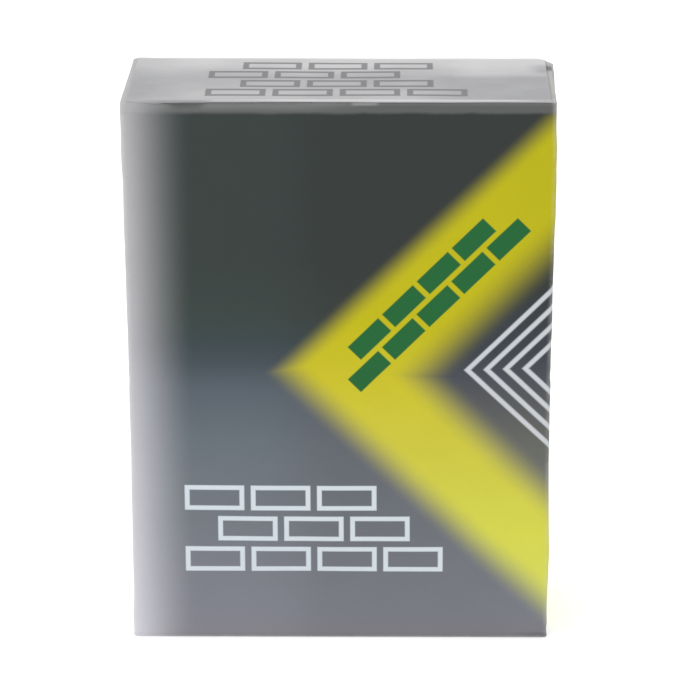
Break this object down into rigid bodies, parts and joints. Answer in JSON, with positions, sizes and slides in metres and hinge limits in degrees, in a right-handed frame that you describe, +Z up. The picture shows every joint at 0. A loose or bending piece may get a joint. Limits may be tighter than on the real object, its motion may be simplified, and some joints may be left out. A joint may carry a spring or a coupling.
{
  "type": "cement bag",
  "caption": "Filled block-bottom valve sack of cement: an upright printed paper box with folded ends, cover sheets and a valve sleeve.",
  "frame": {"origin": "centre of the overall footprint, on the ground", "axes": "+Z up, -Y out of the printed front face, +X towards the valve end of the top"},
  "size_m": [0.3166, 0.135, 0.4225],
  "materials": {
    "printed_paper": "satin, printed kraft paper",
    "cover_paper": "satin, grey printed kraft paper",
    "sleeve_paper": "matte, unprinted paper"
  },
  "bodies": {
    "root": {"sack": "printed_paper", "top_patch": "cover_paper", "bottom_patch": "cover_paper", "valve_sleeve": "sleeve_paper"}
  },
  "joints": []
}
